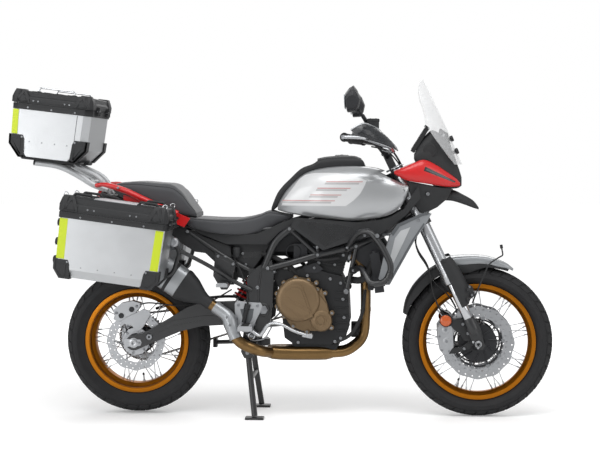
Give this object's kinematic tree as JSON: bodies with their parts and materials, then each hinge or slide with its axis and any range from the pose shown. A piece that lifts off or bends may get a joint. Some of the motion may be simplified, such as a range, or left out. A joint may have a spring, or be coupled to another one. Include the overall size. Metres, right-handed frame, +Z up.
{
  "type": "adventure motorcycle",
  "caption": "Adventure touring motorcycle on its centre stand, with spoked wheels, steering fork, twin panniers and a top case with hinged lids.",
  "frame": {"origin": "centre of the bounding box on the ground", "axes": "+X forwards, +Y to the rider's left, +Z up"},
  "size_m": [2.3585, 0.96, 1.474],
  "materials": {
    "frame_black": "satin",
    "bar_black": "satin",
    "axle_steel": "machined",
    "chain_steel": "oiled",
    "shock_grey": "gloss",
    "engine_black": "matte",
    "cover_bronze": "satin",
    "radiator_black": "matte",
    "header_bronze": "heat tinted",
    "silencer_black": "satin",
    "tank_silver": "gloss",
    "trim_black": "matte",
    "seat_grey": "matte",
    "shroud_grey": "satin",
    "panel_red": "gloss",
    "screen_clear": "clear",
    "dash_black": "satin",
    "lamp_red": "gloss",
    "rack_grey": "satin",
    "peg_steel": "cast",
    "case_silver": "brushed",
    "lid_black": "satin",
    "fork_black": "satin",
    "guard_silver": "satin",
    "fender_grey": "satin",
    "caliper_grey": "satin",
    "tyre": "matte",
    "rim_gold": "anodised",
    "hub_black": "satin",
    "disc_steel": "machined"
  },
  "bodies": {
    "chassis": {"beak": "trim_black", "crash_bars": "frame_black", "cylinder_head": "engine_black", "drive_chain": "chain_steel", "engine_block": "engine_black", "engine_covers": "cover_bronze", "exhaust_pipe": "header_bronze", "foot_levers": "frame_black", "footpegs": "peg_steel", "front_cowl": "trim_black", "fuel_tank": "tank_silver", "instrument_panel": "dash_black", "main_frame": "frame_black", "nose_panels": "panel_red", "pannier_racks": "frame_black", "panniers": "case_silver", "passenger_seat": "seat_grey", "radiator": "radiator_black", "rear_axle": "axle_steel", "rear_fender": "trim_black", "rear_rack": "rack_grey", "rear_shock": "shock_grey", "rider_seat": "seat_grey", "side_panels": "trim_black", "side_shrouds": "shroud_grey", "silencer": "silencer_black", "subframe": "frame_black", "swingarm": "frame_black", "tail_light": "lamp_red", "tail_panels": "panel_red", "tank_cover": "trim_black", "top_case": "case_silver", "windscreen": "screen_clear"},
    "front_end": {"fork_legs": "fork_black", "fork_clamps": "frame_black", "handlebar": "bar_black", "handguards": "guard_silver", "mirrors": "trim_black", "front_fender": "fender_grey", "front_calipers": "caliper_grey", "front_axle": "axle_steel"},
    "front_wheel": {"front_tyre": "tyre", "front_rim": "rim_gold", "front_hub": "hub_black", "front_discs": "disc_steel"},
    "rear_wheel": {"rear_tyre": "tyre", "rear_rim": "rim_gold", "rear_hub": "hub_black", "rear_disc": "disc_steel", "rear_sprocket": "disc_steel"},
    "centre_stand": {"centre_stand": "frame_black"},
    "side_stand": {"side_stand": "frame_black"},
    "top_case_lid": {"top_case_lid": "lid_black"},
    "pannier_lid_left": {"pannier_lid_left": "lid_black"},
    "pannier_lid_right": {"pannier_lid_right": "lid_black"}
  },
  "joints": [
    {"name": "steering", "type": "hinge", "parent": "chassis", "child": "front_end", "pos_m": [0.82686, 0, 0.31781], "axis": [-0.4305, 0, 0.9026], "range_deg": [-34, 34]},
    {"name": "front_wheel_spin", "type": "hinge", "parent": "front_end", "child": "front_wheel", "pos_m": [0.85033, 0, 0.329], "axis": [0, 1, 0], "continuous": true},
    {"name": "rear_wheel_spin", "type": "hinge", "parent": "chassis", "child": "rear_wheel", "pos_m": [-0.64967, 0, 0.325], "axis": [0, 1, 0], "continuous": true},
    {"name": "centre_stand_fold", "type": "hinge", "parent": "chassis", "child": "centre_stand", "pos_m": [-0.14967, 0, 0.285], "axis": [0, 1, 0], "range_deg": [0, 80]},
    {"name": "side_stand_fold", "type": "hinge", "parent": "chassis", "child": "side_stand", "pos_m": [-0.09367, 0.176, 0.3], "axis": [0.1203, -0.9828, -0.1404], "range_deg": [0, 98]},
    {"name": "top_case_hinge", "type": "hinge", "parent": "chassis", "child": "top_case_lid", "pos_m": [-0.80493, 0, 1.33353], "axis": [0, 1, 0], "range_deg": [0, 95]},
    {"name": "pannier_left_hinge", "type": "hinge", "parent": "chassis", "child": "pannier_lid_left", "pos_m": [-0.44073, 0.358, 0.85405], "axis": [0, 1, 0], "range_deg": [0, 95]},
    {"name": "pannier_right_hinge", "type": "hinge", "parent": "chassis", "child": "pannier_lid_right", "pos_m": [-0.44073, -0.358, 0.85405], "axis": [0, 1, 0], "range_deg": [0, 95]}
  ]
}
